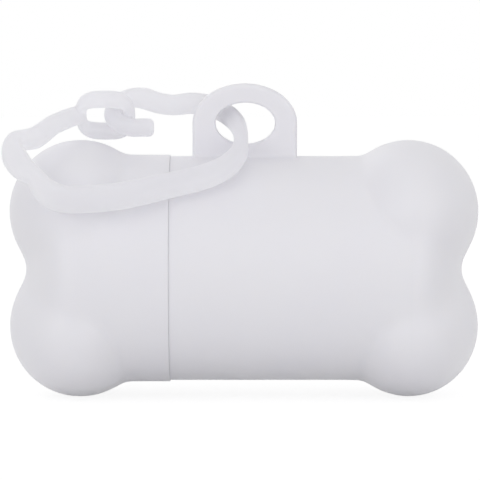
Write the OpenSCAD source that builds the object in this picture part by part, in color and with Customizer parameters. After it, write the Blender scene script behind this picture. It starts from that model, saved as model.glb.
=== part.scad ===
// Bone-shaped dispenser for a roll of dog waste bags.
// A hollow bone is parted near one end: the short end is a push-on cap, the long end is
// the body, with a flat eyelet on top. A moulded strap with a ring and a hook goes
// through the eyelet. Inside lies a roll of bags on a paper tube.
// The bone lies along X, the eyelet points up along Z, and the origin is the middle of
// the eyelet's hole. The modules work from the bone's own middle and are moved at the end.

/* [Bone] */
// Diameter of the straight barrel
barrel_d = 40; // [38:0.5:42]
// Distance from the bone's middle to the middle of its lobes, along the bone
lobe_x = 29.5; // [29:0.1:31]
// Height of a lobe's middle above the barrel's axis
lobe_z = 10.25; // [10:0.05:11]
// Half the length of a lobe, along the bone
lobe_half_len = 12.45; // [11.5:0.05:13]
// Half the depth of a lobe, front to back
lobe_half_depth = 19; // [18:0.1:19.5]
// Half the height of a lobe
lobe_half_height = 12.6; // [12:0.1:13]
// Length of the dome that closes the barrel between the lobes
dome_len = 9.2; // [8.5:0.1:10]
// Wall thickness of the shells
wall = 1.6; // [1.4:0.1:1.8]
// How softly a lobe runs into the barrel
neck_blend = 0.4; // [0.2:0.05:0.6]
// How softly the two lobes of one end run into each other
waist_blend = 0.8; // [0.5:0.1:1.2]

/* [Cap] */
// Distance from the bone's middle to the seam of the cap
seam_x = 13; // [12:0.1:14]
// Width of the seam between cap and body
seam_gap = 0.25; // [0.15:0.05:0.4]
// Extra radius of the cap on its straight stretch
cap_flare = 0.25; // [0.1:0.05:0.4]
// How much nearer the cap's lobes are to the bone's middle than the body's
cap_short = 0.3; // [0:0.1:0.5]
// Rounding of the body's rim
rim_ease = 0.25; // [0.1:0.05:0.4]

/* [Neck] */
// Radius of the seats that are bored into both mouths
seat_r = 18.5; // [18.4:0.05:18.6]
// Depth of the seats
seat_depth = 8; // [6:0.5:9]
// Radius of the neck where the cap slides over it
neck_r = 17.44; // [17.2:0.02:17.44]
// Length of the neck that stands out of the body
neck_len = 7.8; // [6:0.1:8]
// Inner radius of the neck
neck_bore_r = 16.2; // [16:0.1:16.4]
// Gap all round between the neck and the cap's collar
neck_clearance = 0.06; // [0.04:0.01:0.1]
// Lead-in at the tip of the neck
neck_lead = 0.5; // [0.3:0.1:0.8]

/* [Eyelet] */
// Middle of the eyelet plate, along the bone
eyelet_x = 0.3; // [-2:0.1:3]
// Half the width of the eyelet plate
eyelet_half_w = 9.3; // [9:0.1:10]
// Height where the plate's sides begin to curve in
eyelet_shoulder_z = 26; // [25.5:0.1:26.5]
// Rise of the plate's rounded top above its shoulders
eyelet_rise = 6.95; // [6.6:0.05:7.3]
// Thickness of the plate
eyelet_t = 4.4; // [3.6:0.2:4.6]
// Middle of the oval hole, along the bone
hole_x = 0.4; // [0.2:0.1:0.6]
// Height of the middle of the oval hole
hole_z = 25.9; // [25.6:0.1:26]
// Half the width of the oval hole
hole_half_w = 5.3; // [5.2:0.05:5.5]
// Half the height of the oval hole
hole_half_h = 3.7; // [3.6:0.05:3.9]
// Chamfer round the plate's faces
eyelet_chamfer = 0.5; // [0.3:0.1:0.7]

/* [Slot] */
// Length of the bag slot in the back of the body
slot_len = 25; // [20:1:25]
// Width of the bag slot
slot_w = 7; // [5:0.5:9]
// Middle of the bag slot, along the bone
slot_x = 8; // [8:0.5:9]

/* [Bag roll] */
// Diameter of a full roll
roll_d = 29; // [24:0.5:29]
// Width of the folded bags, which is the length of the roll
roll_len = 60; // [50:1:60]
// Outer diameter of the paper tube
core_d = 13; // [10:0.5:16]
// Wall of the paper tube
core_wall = 1; // [0.6:0.1:1.2]
// How far the tube stands out at each end of the roll
core_proud = 0.5; // [0:0.1:1]
// How far the roll lies below the barrel's axis
roll_drop = 1.2; // [0.5:0.1:1.2]

/* [Strap ring] */
// Middle of the ring, from the bone's middle
ring_middle = [-24.55, 0, 27.3];
// Half the length of the ring, along its middle line
ring_half_len = 4.35; // [4.2:0.05:4.5]
// Half the height of the ring, along its middle line
ring_half_height = 4.4; // [4.2:0.1:4.6]
// Lean of the ring, with its top to the front
ring_lean = 48; // [44:1:50]
// Width of the ring's upper and lower bars
ring_bar = 3.1; // [2.8:0.1:3.2]
// Width of the ring's side bars
ring_side = 2; // [1.8:0.1:2.2]

/* [Fineness] */
// Facets round half of the bone
half_steps = 24; // [18:2:28]
// Rings where the lobes rise out of the barrel
rise_steps = 7; // [5:1:8]
// Rings from the lobes' middle to the bone's tip
end_steps = 12; // [8:1:12]
// Facets round the strap
strap_sides = 10; // [8:2:12]
// Rings between two points of the strap's route
strap_steps = 2; // [1:1:2]

/* [Hidden] */

round_fn = 96;
past = 1;                              // how far a cutter runs past what it cuts
barrel_r = barrel_d / 2;
rise_start = 20.3;                     // where the straight barrel ends
blend_from = 24;                       // where the blend begins to soften
blend_len = 10;                        // how far it takes to soften
nearest = 5;                           // the bone's wall is never nearer to its axis
farthest = 30;                         // and never farther from it
halvings = 16;                         // of the stretch in which the wall is sought
plate_step = 6;                        // degrees between points of the plate's top
hole_step = 7.5;                       // degrees between points of the oval hole
slot_fn = 48;
ring_count = 28;                       // sections round the strap's ring
ring_squareness = 3;                   // 2 is an ellipse, more is squarer
collar_bore_r = neck_r + neck_clearance;
collar_stop = 1;                       // thickness of the stop behind the neck's tip
collar_stop_r = 16.6;                  // inner radius of that stop
stop_gap = 0.4;                        // room between the neck's tip and that stop
seat_step = 0.3;                       // step of the collar at the bottom of its seat
roll_r = roll_d / 2;
core_r = core_d / 2;
white = [0.9, 0.9, 0.92];
strap_white = [0.93, 0.93, 0.95];
kraft = [0.72, 0.6, 0.44];
film = [0.8, 0.86, 0.86];

// ---- The strap's route: middle line, section and lean of the section ----
// Each row: x, y, z, width across the loop's plane, thickness, lean in degrees.
// It runs from the hook's tip round the ring's side bar, behind the eyelet, through
// the hole, down the front, round the left lobe and up to the ring.
STRAP_ROUTE = [
  [-15.8,  -2.4, 25.2, 1.90, 2.0,  0], [-16.5,  -2.4, 25.2, 3.20, 2.9,  0],
  [-17.8,  -2.4, 25.2, 3.25, 3.0,  0], [-19.9,  -2.3, 25.2, 3.25, 3.0,  0],
  [-22.1,  -1.6, 25.9, 3.20, 3.0,  0], [-23.2,   0.0, 27.4, 3.20, 3.0,  0],
  [-22.2,   1.6, 29.3, 3.30, 3.0,  0], [-19.9,   2.3, 30.3, 3.50, 3.1,  0],
  [-17.7,   2.8, 30.2, 3.85, 3.2,  0], [-16.2,   3.2, 29.7, 3.80, 3.2,  0],
  [-14.8,   3.6, 29.3, 3.75, 3.2,  0], [-12.5,   4.1, 29.0, 3.70, 3.2,  0],
  [ -9.5,   4.4, 29.3, 3.85, 3.2,  0], [ -6.7,   4.5, 29.1, 3.70, 3.1,  0],
  [ -4.7,   4.5, 28.3, 3.70, 2.9,  0], [ -3.0,   3.6, 27.4, 3.65, 2.8,  0],
  [ -1.8,   0.7, 26.5, 3.50, 3.0,  0], [ -1.1,  -1.8, 25.7, 3.20, 3.1,  0],
  [ -0.5,  -4.2, 24.3, 2.65, 3.3,  0], [ -0.4,  -6.0, 22.6, 2.60, 3.5,  5],
  [ -0.8,  -8.8, 20.9, 3.20, 3.5, 20], [ -2.2, -11.9, 19.3, 3.90, 3.5, 35],
  [ -4.0, -14.2, 18.2, 4.30, 3.5, 42], [ -6.5, -15.6, 17.2, 4.50, 3.5, 43],
  [ -9.6, -16.5, 16.4, 4.50, 3.5, 42], [-13.0, -17.6, 15.7, 4.60, 3.5, 38],
  [-17.8, -19.7, 14.7, 4.70, 3.5, 22], [-21.7, -21.0, 14.0, 4.75, 3.5, 10],
  [-26.4, -21.4, 13.6, 4.80, 3.5,  6], [-30.2, -21.4, 13.5, 4.80, 3.5,  6],
  [-32.6, -21.3, 14.1, 4.75, 3.5,  8], [-34.4, -21.0, 15.3, 4.30, 3.5, 12],
  [-35.9, -20.4, 17.2, 3.50, 3.5, 10], [-38.1, -19.2, 18.8, 4.40, 3.5,  6],
  [-39.5, -17.7, 20.5, 4.50, 3.5,  4], [-40.1, -15.7, 22.1, 3.60, 3.5,  0],
  [-39.6, -13.9, 23.2, 3.60, 3.4,  0], [-38.1, -12.6, 23.4, 3.75, 3.4,  0],
  [-36.5, -11.5, 23.7, 3.90, 3.4,  0], [-35.1, -10.2, 24.6, 3.75, 3.3,  0],
  [-33.5,  -8.0, 25.8, 3.55, 3.2,  0], [-31.9,  -4.8, 26.5, 3.50, 3.1,  0],
  [-30.6,  -2.6, 27.0, 3.45, 3.1,  0], [-29.1,  -0.6, 27.4, 3.20, 3.0,  0]
];
strap_squareness = 2.6;                // 2 is an ellipse, more is squarer

// ---- The bone's surface ----

function square_of(v) = v * v;
function clamp01(t) = min(1, max(0, t));
function eased(t) = let (c = clamp01(t)) c * c * (3 - 2 * c);

// Close estimate of the distance from p to an ellipsoid with half axes s.
function ellipsoid_distance(p, s) =
  let (near = norm([p.x / s.x, p.y / s.y, p.z / s.z]),
       slope = norm([p.x / square_of(s.x), p.y / square_of(s.y), p.z / square_of(s.z)]))
  near * (near - 1) / slope;

// Negative inside the bone, positive outside; inset shrinks it by a wall thickness.
function bone_distance(p, inset) =
  let (along = abs(p.x),
       dome = [dome_len - inset, barrel_r - inset, barrel_r - inset],
       lobe = [lobe_half_len - inset, lobe_half_depth - inset, lobe_half_height - inset],
       to_barrel = ellipsoid_distance([max(0, along - lobe_x), p.y, p.z], dome),
       to_upper = ellipsoid_distance([along - lobe_x, p.y, p.z - lobe_z], lobe),
       to_lower = ellipsoid_distance([along - lobe_x, p.y, p.z + lobe_z], lobe),
       k = neck_blend + (waist_blend - neck_blend) * eased((along - blend_from) / blend_len))
  -k * ln(exp(-to_barrel / k) + exp(-to_upper / k) + exp(-to_lower / k));

// How far the surface is from start, in direction way: halves the stretch until it is found.
function reach(start, way, inset, low, high, left) =
  left == 0 ? (low + high) / 2 :
  let (middle = (low + high) / 2)
  bone_distance(start + middle * way, inset) < 0
    ? reach(start, way, inset, middle, high, left - 1)
    : reach(start, way, inset, low, middle, left - 1);

// Rays from the bone's axis: where each begins, and its tilt towards the tip.
// The third value is what the outer surface gains there in radius; flare eases off.
function rays(first_rays, flare) = concat(
  first_rays,
  [for (i = [0:rise_steps])
    let (share = i / rise_steps)
    [rise_start + (lobe_x - rise_start) * share, 0, flare * (1 - share)]],
  [for (i = [1:end_steps - 1]) [lobe_x, 90 * i / end_steps, 0]]
);

function shell_point(ray, turn, inset, gain) =
  let (way = [sin(ray[1]), -cos(ray[1]) * sin(turn), cos(ray[1]) * cos(turn)],
       start = [ray[0], 0, 0])
  start + way * (reach(start, way, inset, nearest, farthest, halvings) + gain);

// Two triangles for the four corners a, b, c, d.
function quad(a, b, c, d) = [[a, b, c], [a, c, d]];

// Front half of a hollow bone end that points along +X, closed at the plane y = 0.
module half_end(first_rays, flare) {
  ray_list = rays(first_rays, flare);
  n = len(ray_list);
  row = half_steps + 1;
  inner = n * row;                     // number of the first inner point
  outer_tip = 2 * n * row;
  inner_tip = outer_tip + 1;
  last = n - 1;
  points = concat(
    [for (ray = ray_list) for (j = [0:half_steps])
      shell_point(ray, 180 * j / half_steps, 0, ray[2])],
    [for (ray = ray_list) for (j = [0:half_steps])
      shell_point(ray, 180 * j / half_steps, wall, 0)],
    [shell_point([lobe_x, 90, 0], 0, 0, 0), shell_point([lobe_x, 90, 0], 0, wall, 0)]
  );
  function at(i, j) = i * row + j;
  function within(i, j) = inner + at(i, j);
  outer_faces = [for (i = [0:last - 1]) for (j = [0:half_steps - 1])
    each quad(at(i, j), at(i + 1, j), at(i + 1, j + 1), at(i, j + 1))];
  inner_faces = [for (i = [0:last - 1]) for (j = [0:half_steps - 1])
    each quad(within(i, j), within(i, j + 1), within(i + 1, j + 1), within(i + 1, j))];
  tip_faces = [for (j = [0:half_steps - 1])
    each [[at(last, j), outer_tip, at(last, j + 1)],
          [within(last, j), within(last, j + 1), inner_tip]]];
  mouth_faces = [for (j = [0:half_steps - 1])
    each quad(at(0, j), at(0, j + 1), within(0, j + 1), within(0, j))];
  weld_faces = [for (i = [0:last - 1])
    each concat(
      quad(at(i, 0), within(i, 0), within(i + 1, 0), at(i + 1, 0)),
      quad(at(i, half_steps), at(i + 1, half_steps),
           within(i + 1, half_steps), within(i, half_steps)))];
  tip_weld_faces = concat(
    quad(at(last, 0), within(last, 0), inner_tip, outer_tip),
    quad(at(last, half_steps), outer_tip, inner_tip, within(last, half_steps)));
  polyhedron(points, concat(outer_faces, inner_faces, tip_faces, mouth_faces,
                            weld_faces, tip_weld_faces), convexity = 6);
}

// A cylinder along X from one place to another.
module rod(from, to, r) {
  translate([from, 0, 0])
    rotate([0, 90, 0])
      cylinder(h = to - from, r = r, $fn = round_fn);
}

module seat_bore(mouth) {
  rod(mouth - past, mouth + seat_depth, seat_r);
}

// Moves a piece from the bone's middle to the eyelet's.
module placed() {
  translate([-hole_x, 0, -hole_z]) children();
}

// ---- Eyelet plate ----

function oval(middle, half_w, half_h, from, to, step) =
  [for (a = [from:step:to]) middle + [half_w * cos(a), half_h * sin(a)]];

// Outline of the plate, drawn in by inset, down into the barrel's wall.
function plate_outline(inset) =
  let (half_w = eyelet_half_w - inset, foot = barrel_r - wall)
  concat(
    [[eyelet_x + half_w, foot]],
    oval([eyelet_x, eyelet_shoulder_z], half_w, eyelet_rise - inset, 0, 180,
         plate_step),
    [[eyelet_x - half_w, foot]]);

// One layer of the plate, from the weld plane towards the front.
module plate_layer(from, to, inset) {
  translate([0, -from, 0])
    rotate([90, 0, 0])
      linear_extrude(to - from)
        difference() {
          polygon(plate_outline(inset));
          polygon(oval([hole_x, hole_z], hole_half_w + inset, hole_half_h + inset,
                       0, 360 - hole_step, hole_step));
        }
}

module half_plate() {
  difference() {
    union() {
      plate_layer(0, eyelet_t / 2 - eyelet_chamfer, 0);
      plate_layer(eyelet_t / 2 - eyelet_chamfer, eyelet_t / 2, eyelet_chamfer / 2);
    }
    rod(-lobe_x, lobe_x, barrel_r - wall / 2);
  }
}

// ---- Body ----

body_mouth = -seam_x + seam_gap / 2;
body_rays = [[body_mouth, 0, -rim_ease], [body_mouth + rim_ease, 0, 0]];

module body_half() {
  difference() {
    union() {
      half_end(body_rays, 0);
      half_plate();
    }
    seat_bore(body_mouth);
  }
}

module bag_slot() {
  run = slot_len - slot_w;
  translate([slot_x, barrel_r / 2, 0])
    rotate([-90, 0, 0])
      union() {
        for (side = [-1, 1])
          translate([side * run / 2, 0, 0])
            cylinder(h = barrel_r, d = slot_w, $fn = slot_fn);
        translate([-run / 2, -slot_w / 2, 0])
          cube([run, slot_w, barrel_r]);
      }
}

module body_front_shell() {
  color(white) placed() body_half();
}

module body_rear_shell() {
  color(white) placed()
    difference() {
      mirror([0, 1, 0]) body_half();
      bag_slot();
    }
}

// A ring turned about the bone's axis, from a profile of radius and place along it.
module turned(profile) {
  rotate([0, 90, 0])
    rotate_extrude($fn = round_fn)
      polygon(profile);
}

module neck_ring() {
  tip = body_mouth - neck_len;
  color(white) placed()
    turned([
      [neck_bore_r, tip], [neck_r - neck_lead, tip], [neck_r, tip + neck_lead],
      [neck_r, body_mouth], [seat_r, body_mouth], [seat_r, body_mouth + seat_depth],
      [neck_bore_r, body_mouth + seat_depth]
    ]);
}

// ---- Cap, built pointing along +X and mirrored ----

cap_mouth = seam_x + seam_gap / 2;

module cap_half() {
  mirror([1, 0, 0])
    difference() {
      translate([-cap_short, 0, 0])
        half_end([[cap_mouth + cap_short, 0, cap_flare]], cap_flare);
      seat_bore(cap_mouth);
    }
}

module cap_front_shell() {
  color(white) placed() cap_half();
}

module cap_rear_shell() {
  color(white) placed() mirror([0, 1, 0]) cap_half();
}

module cap_collar() {
  stop_face = neck_len - body_mouth + stop_gap;
  end = stop_face + collar_stop;
  color(white) placed()
    mirror([1, 0, 0])
      turned([
        [collar_bore_r, cap_mouth], [seat_r, cap_mouth],
        [seat_r, cap_mouth + seat_depth], [seat_r - seat_step, cap_mouth + seat_depth],
        [neck_r, end], [collar_stop_r, end], [collar_stop_r, stop_face],
        [collar_bore_r, stop_face]
      ]);
}

// ---- Strap ----

// A smooth curve through the rows of a list, for any number of columns.
function curve_point(rows, i, t) =
  let (n = len(rows),
       a = rows[max(0, i - 1)], b = rows[i], c = rows[min(n - 1, i + 1)],
       d = rows[min(n - 1, i + 2)])
  0.5 * (2 * b + (c - a) * t + (2 * a - 5 * b + 4 * c - d) * t * t
         + (3 * b - a - 3 * c + d) * t * t * t);

function smooth_rows(rows, steps) = concat(
  [for (i = [0:len(rows) - 2]) for (s = [0:steps - 1]) curve_point(rows, i, s / steps)],
  [rows[len(rows) - 1]]);

function unit(v) = v / norm(v);
function place_of(row) = [row[0], row[1], row[2]];
function signed_power(v, p) = sign(v) * pow(abs(v), p);

// Points of one section: across runs in the loop's plane, through runs out of it.
function section_points(row, heading, squareness) =
  let (flat = unit(cross(heading, [0, 1, 0])),
       back = cross(heading, flat),
       across = flat * cos(row[5]) + back * sin(row[5]),
       through = cross(heading, across))
  [for (k = [0:strap_sides - 1])
    let (a = 360 * (k + 0.5) / strap_sides)
    place_of(row)
      + across * row[3] / 2 * signed_power(cos(a), 2 / squareness)
      + through * row[4] / 2 * signed_power(sin(a), 2 / squareness)];

function side_faces(rings, closed) =
  [for (i = [0:rings - (closed ? 1 : 2)]) for (k = [0:strap_sides - 1])
    let (next = (k + 1) % strap_sides, a = i * strap_sides,
         b = ((i + 1) % rings) * strap_sides)
    each quad(a + k, b + k, b + next, a + next)];

module strap_run() {
  rows = smooth_rows(STRAP_ROUTE, strap_steps);
  n = len(rows);
  points = [for (i = [0:n - 1])
    each section_points(rows[i],
      unit(place_of(rows[min(n - 1, i + 1)]) - place_of(rows[max(0, i - 1)])),
      strap_squareness)];
  caps = [[for (k = [0:strap_sides - 1]) k],
          [for (k = [strap_sides - 1:-1:0]) (n - 1) * strap_sides + k]];
  polyhedron(points, concat(side_faces(n, false), caps), convexity = 8);
}

// The ring's middle line is a rounded rectangle in a plane that leans about X.
module strap_ring() {
  up = [0, -sin(ring_lean), cos(ring_lean)];
  function ring_place(i) =
    let (a = 360 * i / ring_count)
    ring_middle + [ring_half_len, 0, 0] * signed_power(cos(a), 2 / ring_squareness)
      + up * ring_half_height * signed_power(sin(a), 2 / ring_squareness);
  function ring_section(i) =
    let (heading = unit(ring_place(i + 1) - ring_place(i - 1)),
         through = cross([1, 0, 0], up),
         across = cross(through, heading),
         width = ring_side + (ring_bar - ring_side) * square_of(heading.x),
         depth = (ring_bar + width) / 2)
    [for (k = [0:strap_sides - 1])
      let (a = 360 * (k + 0.5) / strap_sides)
      ring_place(i) + across * width / 2 * cos(a) + through * depth / 2 * sin(a)];
  polyhedron([for (i = [0:ring_count - 1]) each ring_section(i)],
             side_faces(ring_count, true), convexity = 8);
}

module hook_strap() {
  color(strap_white) placed() {
    strap_run();
    strap_ring();
  }
}

// ---- Bag roll ----

module at_roll_axis() {
  placed() translate([0, 0, -roll_drop]) children();
}

module roll_core() {
  half = roll_len / 2 + core_proud;
  color(kraft) at_roll_axis()
    difference() {
      rod(-half, half, core_r);
      rod(-half - past, half + past, core_r - core_wall);
    }
}

module bag_roll() {
  half = roll_len / 2;
  color(film) at_roll_axis()
    difference() {
      rod(-half, half, roll_r);
      rod(-half - past, half + past, core_r);
    }
}

body_front_shell();
body_rear_shell();
neck_ring();
cap_front_shell();
cap_rear_shell();
cap_collar();
hook_strap();
roll_core();
bag_roll();
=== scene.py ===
"""Dressed model of a bone-shaped dispenser for dog waste bags.

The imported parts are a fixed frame. Each piece made here stands for one of them, rides on
the same body and keeps the same place, and adds the form and finish of the moulded part.
The bone lies along X, the eyelet points up along Z, the front looks along -Y, and the
origin is the middle of the eyelet's hole. Sizes are in millimetres, measured from the
bone's middle on the axis of its barrel, and are turned to metres when a mesh is made.
"""

import logging
import math
from dataclasses import dataclass
from enum import Enum
from typing import Any, Optional

import bmesh
import bpy
import numpy as np
from bpy.types import Material, Mesh, Node, NodeSocket, NodeTree, Object
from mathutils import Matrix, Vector


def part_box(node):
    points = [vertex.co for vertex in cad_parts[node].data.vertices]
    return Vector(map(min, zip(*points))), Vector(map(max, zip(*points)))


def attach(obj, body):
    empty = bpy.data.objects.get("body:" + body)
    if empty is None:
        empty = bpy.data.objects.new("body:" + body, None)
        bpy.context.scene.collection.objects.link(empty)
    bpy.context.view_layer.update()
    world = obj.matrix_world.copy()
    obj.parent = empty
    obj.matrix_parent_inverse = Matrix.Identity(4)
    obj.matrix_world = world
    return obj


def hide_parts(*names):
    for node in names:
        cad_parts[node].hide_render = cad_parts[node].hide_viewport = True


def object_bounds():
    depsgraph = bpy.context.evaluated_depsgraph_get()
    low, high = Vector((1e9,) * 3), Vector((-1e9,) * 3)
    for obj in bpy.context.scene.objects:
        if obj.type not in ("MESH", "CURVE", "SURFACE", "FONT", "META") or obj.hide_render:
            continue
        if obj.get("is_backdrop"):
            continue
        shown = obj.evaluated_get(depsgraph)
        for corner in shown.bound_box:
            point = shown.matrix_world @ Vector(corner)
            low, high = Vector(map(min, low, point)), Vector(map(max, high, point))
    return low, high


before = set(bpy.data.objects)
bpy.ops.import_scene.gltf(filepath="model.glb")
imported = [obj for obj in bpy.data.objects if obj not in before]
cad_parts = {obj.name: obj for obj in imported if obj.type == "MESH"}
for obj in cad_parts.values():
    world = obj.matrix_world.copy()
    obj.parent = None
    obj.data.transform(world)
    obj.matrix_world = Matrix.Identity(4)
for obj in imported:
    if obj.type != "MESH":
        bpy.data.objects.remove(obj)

LOG = logging.getLogger("dispenser")
MM = 0.001
SHARP_ANGLE = math.radians(32)
SAME_POINT = 1e-7  # points nearer to each other than this, in metres, are one
WELD_GAP = 0.003  # how far each half of the eyelet stays from the weld's plane
CORNER_SHARE = 0.45  # the most of a side that the rounding of one corner takes
WHITE = "#FFFFFF"
MATHS = "ShaderNodeMath"
VECTORS = "ShaderNodeVectorMath"


def middle_of(node: str) -> np.ndarray:
    """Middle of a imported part's box, in metres, in the frame's axes."""
    return np.array(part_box(node)).mean(axis=0)


TUBE_MIDDLE = middle_of("roll_core")
BONE_MIDDLE = np.array([TUBE_MIDDLE[0], *middle_of("neck_ring")[1:]])


class Carrier(Enum):
    """Bodies of the frame that a piece can ride on."""

    BODY = "body"
    CAP = "cap"
    STRAP = "strap"
    ROLL = "roll"


class Side(Enum):
    """Which half of a welded shell a piece is, as the sign of its Y."""

    FRONT = -1
    REAR = 1


class Join(Enum):
    """How two closed meshes are joined."""

    UNION = "UNION"
    CUT = "DIFFERENCE"


# ---- Small tools ----


def srgb(code: str) -> tuple[float, float, float, float]:
    """Turns an sRGB hex colour into the linear values that shaders take.

    Args:
        code: The colour, as "#RRGGBB".

    Returns:
        Linear red, green, blue and an alpha of 1.
    """
    parts = [int(code[i:i + 2], 16) / 255 for i in (1, 3, 5)]
    linear = [p / 12.92 if p <= 0.04045 else ((p + 0.055) / 1.055) ** 2.4 for p in parts]
    return (linear[0], linear[1], linear[2], 1.0)


def add_node(tree: NodeTree, kind: str, inputs: Optional[dict[Any, Any]] = None, **settings: Any) -> Node:
    """Adds a node to a tree, with its settings, its values and its links.

    Args:
        tree: The shader or geometry tree.
        kind: Blender's name for the node.
        inputs: Values for its sockets, by name or number. A socket here becomes a link,
            and so does a node, from the first of its outputs that is in use.
        settings: Options of the node itself.

    Returns:
        The new node.
    """
    node = tree.nodes.new(kind)
    for name, value in settings.items():
        setattr(node, name, value)
    for key, value in (inputs or {}).items():
        if isinstance(value, Node):
            value = next(socket for socket in value.outputs if socket.enabled)
        if isinstance(value, NodeSocket):
            tree.links.new(value, node.inputs[key])
        else:
            node.inputs[key].default_value = value
    return node


def empty_tree(owner: Any) -> NodeTree:
    """Empties the node tree of a material or a world.

    Args:
        owner: The material or world.

    Returns:
        Its tree.
    """
    owner.use_nodes = True
    owner.node_tree.nodes.clear()
    return owner.node_tree


def open_tree(name: str, sizes: dict[str, str]) -> tuple[NodeTree, dict[str, NodeSocket]]:
    """Starts a geometry tree with named inputs and one geometry output.

    Args:
        name: Name of the tree.
        sizes: Kind of each input, such as "Float", by the input's name.

    Returns:
        The tree, and the sockets of its inputs by name.
    """
    tree = bpy.data.node_groups.new(name, "GeometryNodeTree")
    for label, kind in {"Geometry": "Geometry", **sizes}.items():
        tree.interface.new_socket(label, in_out="INPUT", socket_type=f"NodeSocket{kind}")
    tree.interface.new_socket("Geometry", in_out="OUTPUT", socket_type="NodeSocketGeometry")
    return tree, dict(add_node(tree, "NodeGroupInput").outputs.items())


def close_tree(tree: NodeTree, made: Node, finish: NodeSocket) -> None:
    """Ends a geometry tree with real geometry that carries its material.

    Args:
        tree: The tree.
        made: The node with the finished geometry.
        finish: The socket with the material.
    """
    real = add_node(tree, "GeometryNodeRealizeInstances", {"Geometry": made})
    dressed = add_node(tree, "GeometryNodeSetMaterial", {"Geometry": real, "Material": finish})
    add_node(tree, "NodeGroupOutput", {0: dressed})


def grow(piece: Object, tree: NodeTree, sizes: dict[str, Any]) -> None:
    """Runs a geometry tree on a piece and keeps the result as a plain mesh.

    Args:
        piece: The object that the tree starts from.
        tree: The geometry tree.
        sizes: Value of each named input.
    """
    modifier = piece.modifiers.new(tree.name, "NODES")
    modifier.node_group = tree
    for item in tree.interface.items_tree:
        if item.in_out == "INPUT" and item.name in sizes:
            modifier[item.identifier] = sizes[item.name]
    settle(piece)
    face_outwards(piece.data)


def settle(piece: Object) -> None:
    """Replaces a piece's mesh by what its modifiers make of it, and removes them.

    Args:
        piece: The object.
    """
    graph = bpy.context.evaluated_depsgraph_get()
    made = bpy.data.meshes.new_from_object(piece.evaluated_get(graph))
    piece.modifiers.clear()
    piece.data = made
    made.name = piece.name


def make_piece(name: str, points: np.ndarray, faces: list[list[int]], edges: tuple = ()) -> Object:
    """Makes an object at the origin from points about the bone's middle.

    Args:
        name: Name of the piece.
        points: Its points, in millimetres from the bone's middle.
        faces: Its faces, as lists of point numbers.
        edges: Its loose edges, where it is a path.

    Returns:
        The new object, with its faces pointing outwards.
    """
    mesh = bpy.data.meshes.new(name)
    mesh.from_pydata((np.asarray(points) * MM + BONE_MIDDLE).tolist(), list(edges), faces)
    if faces:
        face_outwards(mesh)
    return show(name, mesh)


def show(name: str, data: Any) -> Object:
    """Puts a mesh, a lamp or a camera into the scene as an object.

    Args:
        name: Name of the object.
        data: What it shows.

    Returns:
        The object.
    """
    thing = bpy.data.objects.new(name, data)
    bpy.context.scene.collection.objects.link(thing)
    return thing


def face_outwards(mesh: Mesh) -> None:
    """Merges doubled points of a closed mesh and turns its faces outwards.

    Args:
        mesh: The mesh.
    """
    work = bmesh.new()
    work.from_mesh(mesh)
    bmesh.ops.remove_doubles(work, verts=work.verts, dist=SAME_POINT)
    bmesh.ops.recalc_face_normals(work, faces=work.faces)
    work.to_mesh(mesh)
    work.free()


def smooth_shade(piece: Object) -> None:
    """Shades a piece smooth, with its true corners kept sharp."""
    piece.data.shade_smooth()
    piece.data.set_sharp_from_angle(angle=SHARP_ANGLE)


def join(piece: Object, other: Object, how: Join) -> None:
    """Adds one closed mesh to another, or cuts it out, and drops the second object.

    Args:
        piece: The object that is kept.
        other: The object that is added or cut out.
        how: Union or cut.
    """
    modifier = piece.modifiers.new(how.name, "BOOLEAN")
    modifier.solver = "MANIFOLD"
    modifier.operation = how.value
    modifier.object = other
    settle(piece)
    bpy.data.objects.remove(other)


def loops_to_faces(loops: int, count: int, closed: bool) -> list[list[int]]:
    """Quads between loops of points that are numbered one after the other.

    Args:
        loops: Number of loops.
        count: Points in each loop.
        closed: Whether the last loop is joined to the first.

    Returns:
        The faces.
    """
    here = np.arange(loops * count).reshape(loops, count)
    there = np.roll(here, -1, axis=0)
    corners = [here, there, np.roll(there, -1, axis=1), np.roll(here, -1, axis=1)]
    quads = np.stack(corners, -1)
    return (quads if closed else quads[:-1]).reshape(-1, 4).tolist()


def full_turn(steps: int) -> np.ndarray:
    """Even angles round a full turn, in radians."""
    return np.linspace(0, 2 * math.pi, steps, endpoint=False)


def rounding(radius: float, steps: int, degrees: float = 90.0) -> list[tuple[float, float]]:
    """Rows of what an edge's rounding takes from the side and from the top."""
    bends = np.linspace(0, math.radians(degrees), steps)
    return [(radius * (1 - math.cos(b)), radius * (1 - math.sin(b))) for b in bends]


def rounded(corners: list[tuple[float, float]], radius: float, steps: int = 5) -> np.ndarray:
    """Rounds the corners of a closed outline.

    Args:
        corners: The outline's corners.
        radius: How far from a corner the rounding begins.
        steps: Points on each rounding.

    Returns:
        The points of the rounded outline.
    """
    outline = np.array(corners, float)
    made = []
    for i, corner in enumerate(outline):
        sides = [outline[i - 1] - corner, outline[(i + 1) % len(outline)] - corner]
        lengths = [np.linalg.norm(side) for side in sides]
        reach = min(radius, *(length * CORNER_SHARE for length in lengths))
        start, end = [corner + side / length * reach for side, length in zip(sides, lengths)]
        for t in np.linspace(0, 1, steps):
            made.append((1 - t) ** 2 * start + 2 * t * (1 - t) * corner + t ** 2 * end)
    return np.array(made)


def turned(name: str, profile: np.ndarray, segments: int, drop: float = 0) -> Object:
    """Turns a closed profile about the barrel's axis.

    Args:
        name: Name of the piece.
        profile: Rows of radius and place along the axis.
        segments: Segments round the axis.
        drop: How far the turning axis lies below the barrel's axis.

    Returns:
        The turned ring.
    """
    turns, (radius, along) = full_turn(segments)[:, None], profile.T
    across, up = radius * np.cos(turns), radius * np.sin(turns) - drop
    points = np.stack([along + 0 * turns, across, up], -1)
    faces = loops_to_faces(segments, len(profile), closed=True)
    piece = make_piece(name, points.reshape(-1, 3), faces)
    smooth_shade(piece)
    return piece


# ---- Finishes ----


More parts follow.
